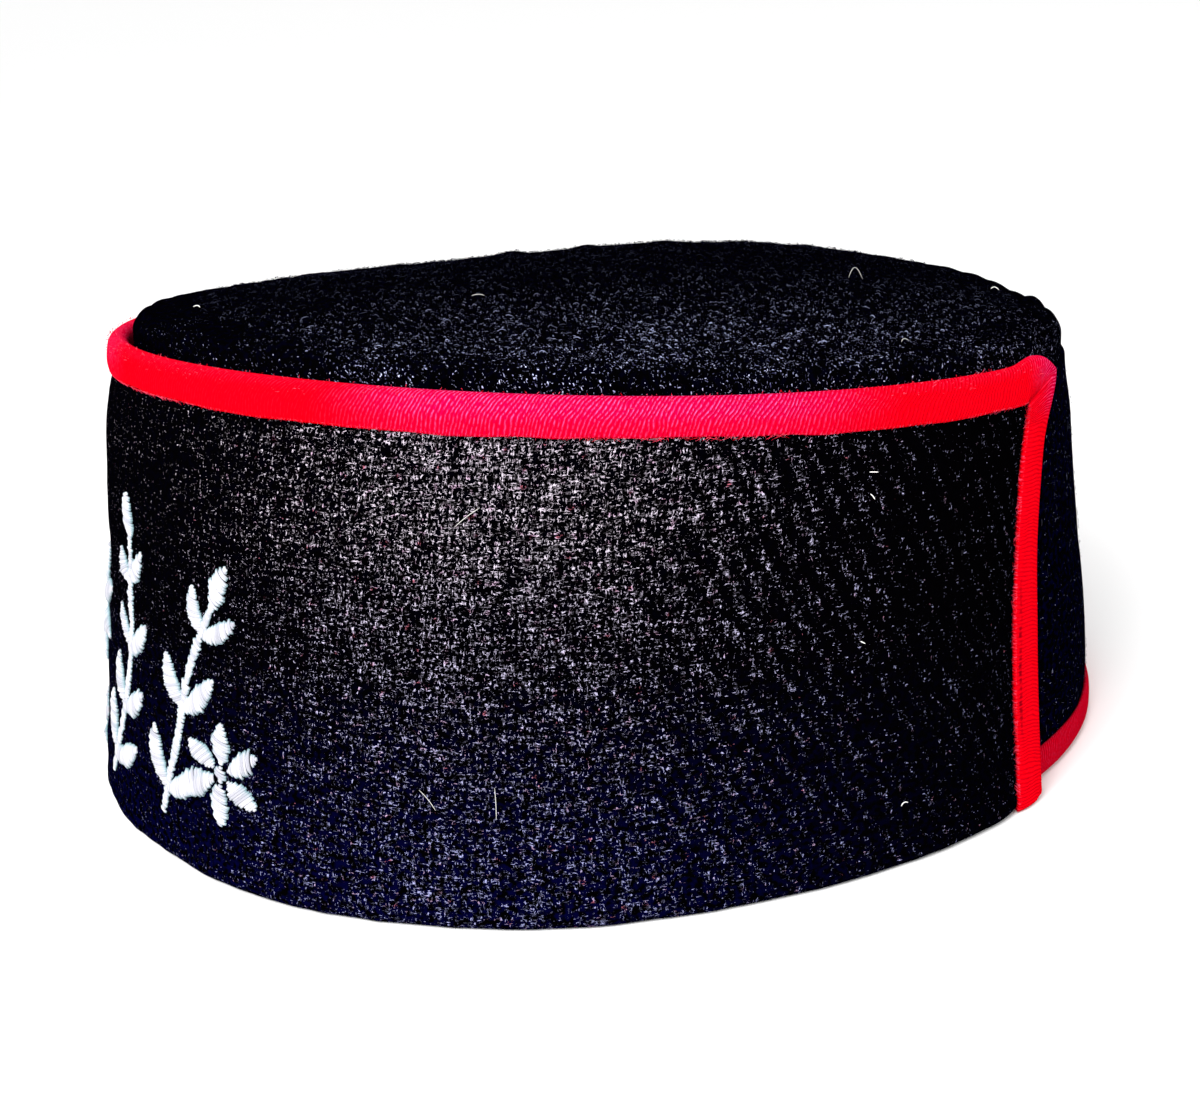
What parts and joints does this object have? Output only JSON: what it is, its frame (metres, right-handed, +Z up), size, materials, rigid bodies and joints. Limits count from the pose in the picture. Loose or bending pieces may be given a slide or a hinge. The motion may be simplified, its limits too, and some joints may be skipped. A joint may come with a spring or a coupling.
{
  "type": "prayer cap",
  "caption": "Oval felt prayer cap with a domed crown, a turned-up cuff open at the back, and ribbon-bound edges.",
  "frame": {"origin": "on the surface the cap rests on, under the middle of its box", "axes": "+Z up through the crown, -Y towards the front of the cap, +Y towards the open back"},
  "size_m": [0.1746, 0.2112, 0.0998],
  "materials": {
    "crown_felt": "black wool felt, matt, with loose fibres",
    "cuff_felt": "black coarse wool felt with a faint weave and grey fibres",
    "binding_ribbon": "red satin ribbon with fine ribs across it",
    "embroidery_thread": "white satin stitch thread"
  },
  "bodies": {
    "root": {"crown_top": "crown_felt", "crown_wall": "crown_felt", "cuff": "cuff_felt", "cuff_binding": "binding_ribbon", "hem_binding": "binding_ribbon"}
  },
  "joints": []
}
